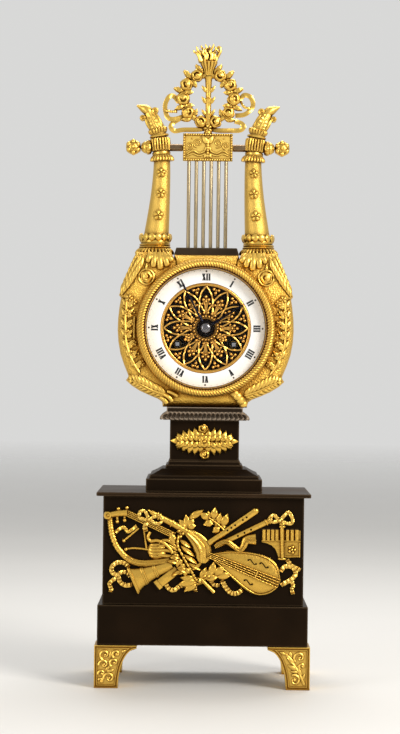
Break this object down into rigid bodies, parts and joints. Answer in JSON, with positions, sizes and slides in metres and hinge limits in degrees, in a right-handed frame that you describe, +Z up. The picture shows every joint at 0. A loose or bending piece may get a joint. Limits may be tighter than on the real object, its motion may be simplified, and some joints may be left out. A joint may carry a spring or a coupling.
{
  "type": "lyre clock",
  "caption": "Gilt lyre-shaped mantel clock on a dark bronze pedestal and footed base, with rose wreath and torch, pierced dial centre and striking pendulum movement.",
  "frame": {"origin": "on the floor, under the middle of the four feet", "axes": "+Z up, +X to the viewer's right, front of the dial towards -Y"},
  "size_m": [0.1784, 0.1148, 0.5403],
  "materials": {
    "gilt": "mercury-gilt bronze, matt and burnished",
    "dark_bronze": "dark brown patinated bronze",
    "string_brass": "drawn brass rod, tarnished",
    "enamel": "white vitreous enamel",
    "blued_steel": "blued steel, nearly black",
    "glass": "clear flat glass",
    "brass": "polished clock brass",
    "steel": "polished steel",
    "bell_metal": "cast bell metal"
  },
  "bodies": {
    "case": {"foot_front_left": "gilt", "foot_front_right": "gilt", "foot_rear_left": "gilt", "foot_rear_right": "gilt", "base_block": "dark_bronze", "base_die": "dark_bronze", "base_slab": "dark_bronze", "tie_rod": "steel", "trophy_mount": "gilt", "pedestal_foot": "dark_bronze", "pedestal_die": "dark_bronze", "pedestal_cap": "dark_bronze", "pedestal_mount": "gilt", "lyre_front": "gilt", "lyre_back": "gilt", "arm_left": "gilt", "arm_right": "gilt", "yoke_bar": "gilt", "yoke_knobs": "gilt", "string_plaque": "gilt", "string_bridge": "dark_bronze", "lyre_strings": "string_brass", "wreath_crest": "gilt", "dial_plate": "dark_bronze", "chapter_ring": "enamel", "dial_centre": "gilt", "movement_drum": "brass", "hinge_pins": "steel", "front_plate": "brass", "back_plate": "brass", "plate_pillars": "brass", "suspension_cock": "brass", "bell": "bell_metal", "bell_stand": "steel"},
    "bezel": {"dial_bezel": "gilt", "bezel_glass": "glass"},
    "door": {"rear_door": "brass"},
    "minute": {"cannon_pinion": "brass", "minute_hand": "blued_steel", "hand_nut": "blued_steel"},
    "hour": {"hour_wheel": "brass", "hour_hand": "blued_steel"},
    "minute_wheel": {"minute_wheel": "brass"},
    "centre_wheel": {"centre_wheel": "brass"},
    "third_wheel": {"third_wheel": "brass"},
    "escape_wheel": {"escape_wheel": "brass"},
    "intermediate_wheel": {"intermediate_wheel": "brass"},
    "going_barrel": {"going_barrel": "brass", "going_mainspring": "steel"},
    "going_arbor": {"going_arbor": "steel"},
    "strike_barrel": {"strike_barrel": "brass", "strike_mainspring": "steel"},
    "strike_arbor": {"strike_arbor": "steel"},
    "strike_second_wheel": {"strike_second_wheel": "brass"},
    "pin_wheel": {"pin_wheel": "brass"},
    "stop_wheel": {"stop_wheel": "brass"},
    "fly": {"fly": "brass"},
    "hammer": {"hammer": "steel"},
    "anchor": {"pallet_anchor": "steel"},
    "pendulum": {"pendulum": "brass"}
  },
  "joints": [
    {"name": "minute_hand_turn", "type": "hinge", "parent": "case", "child": "minute", "pos_m": [0, 0, 0.2989], "axis": [0, 1, 0], "continuous": true},
    {"name": "hour_hand_turn", "type": "hinge", "parent": "case", "child": "hour", "pos_m": [0, 0, 0.2989], "axis": [0, 1, 0], "continuous": true},
    {"name": "minute_wheel_turn", "type": "hinge", "parent": "case", "child": "minute_wheel", "pos_m": [0, 0, 0.3109], "axis": [0, 1, 0], "continuous": true},
    {"name": "centre_wheel_turn", "type": "hinge", "parent": "case", "child": "centre_wheel", "pos_m": [0, 0, 0.2989], "axis": [0, 1, 0], "continuous": true},
    {"name": "third_wheel_turn", "type": "hinge", "parent": "case", "child": "third_wheel", "pos_m": [0.00342, 0, 0.31165], "axis": [0, 1, 0], "continuous": true},
    {"name": "escape_wheel_turn", "type": "hinge", "parent": "case", "child": "escape_wheel", "pos_m": [0, 0, 0.32365], "axis": [0, 1, 0], "continuous": true},
    {"name": "intermediate_wheel_turn", "type": "hinge", "parent": "case", "child": "intermediate_wheel", "pos_m": [0.01385, 0, 0.30094], "axis": [0, 1, 0], "continuous": true},
    {"name": "going_barrel_turn", "type": "hinge", "parent": "case", "child": "going_barrel", "pos_m": [0.0237, 0, 0.2853], "axis": [0, 1, 0], "continuous": true},
    {"name": "going_winding", "type": "hinge", "parent": "case", "child": "going_arbor", "pos_m": [0.0237, 0, 0.2853], "axis": [0, 1, 0], "continuous": true},
    {"name": "strike_barrel_turn", "type": "hinge", "parent": "case", "child": "strike_barrel", "pos_m": [-0.0237, 0, 0.2853], "axis": [0, 1, 0], "continuous": true},
    {"name": "strike_winding", "type": "hinge", "parent": "case", "child": "strike_arbor", "pos_m": [-0.0237, 0, 0.2853], "axis": [0, 1, 0], "continuous": true},
    {"name": "strike_second_wheel_turn", "type": "hinge", "parent": "case", "child": "strike_second_wheel", "pos_m": [-0.01738, 0, 0.30267], "axis": [0, 1, 0], "continuous": true},
    {"name": "pin_wheel_turn", "type": "hinge", "parent": "case", "child": "pin_wheel", "pos_m": [-0.02203, 0, 0.31545], "axis": [0, 1, 0], "continuous": true},
    {"name": "stop_wheel_turn", "type": "hinge", "parent": "case", "child": "stop_wheel", "pos_m": [-0.01463, 0, 0.32427], "axis": [0, 1, 0], "continuous": true},
    {"name": "fly_turn", "type": "hinge", "parent": "case", "child": "fly", "pos_m": [-0.00983, 0, 0.33258], "axis": [0, 1, 0], "continuous": true},
    {"name": "hammer_lift", "type": "hinge", "parent": "case", "child": "hammer", "pos_m": [-0.034, 0, 0.3069], "axis": [0, 1, 0], "range_deg": [0, 8]},
    {"name": "pendulum_swing", "type": "hinge", "parent": "case", "child": "pendulum", "pos_m": [0, 0, 0.33385], "axis": [0, 1, 0], "range_deg": [-4, 4]},
    {"name": "anchor_rock", "type": "hinge", "parent": "case", "child": "anchor", "pos_m": [0, 0, 0.33385], "axis": [0, 1, 0], "range_deg": [-4, 4]},
    {"name": "bezel_open", "type": "hinge", "parent": "case", "child": "bezel", "pos_m": [-0.06, -0.0279, 0.2989], "axis": [0, 0, -1], "range_deg": [0, 100]},
    {"name": "door_open", "type": "hinge", "parent": "case", "child": "door", "pos_m": [-0.054, 0.0519, 0.2989], "axis": [0, 0, 1], "range_deg": [0, 100]}
  ],
  "couplings": [
    {"joint": "minute_hand_turn", "follows": "third_wheel_turn", "ratio": -0.1},
    {"joint": "centre_wheel_turn", "follows": "third_wheel_turn", "ratio": -0.1},
    {"joint": "minute_wheel_turn", "follows": "third_wheel_turn", "ratio": 0.033333},
    {"joint": "hour_hand_turn", "follows": "third_wheel_turn", "ratio": -0.0083333},
    {"joint": "escape_wheel_turn", "follows": "third_wheel_turn", "ratio": -12},
    {"joint": "intermediate_wheel_turn", "follows": "third_wheel_turn", "ratio": 0.016667},
    {"joint": "going_barrel_turn", "follows": "third_wheel_turn", "ratio": -0.0027778},
    {"joint": "strike_second_wheel_turn", "follows": "stop_wheel_turn", "ratio": 0.013889},
    {"joint": "strike_barrel_turn", "follows": "stop_wheel_turn", "ratio": -0.0023148},
    {"joint": "pin_wheel_turn", "follows": "stop_wheel_turn", "ratio": -0.125},
    {"joint": "fly_turn", "follows": "stop_wheel_turn", "ratio": -7},
    {"joint": "anchor_rock", "follows": "pendulum_swing", "ratio": 1}
  ]
}
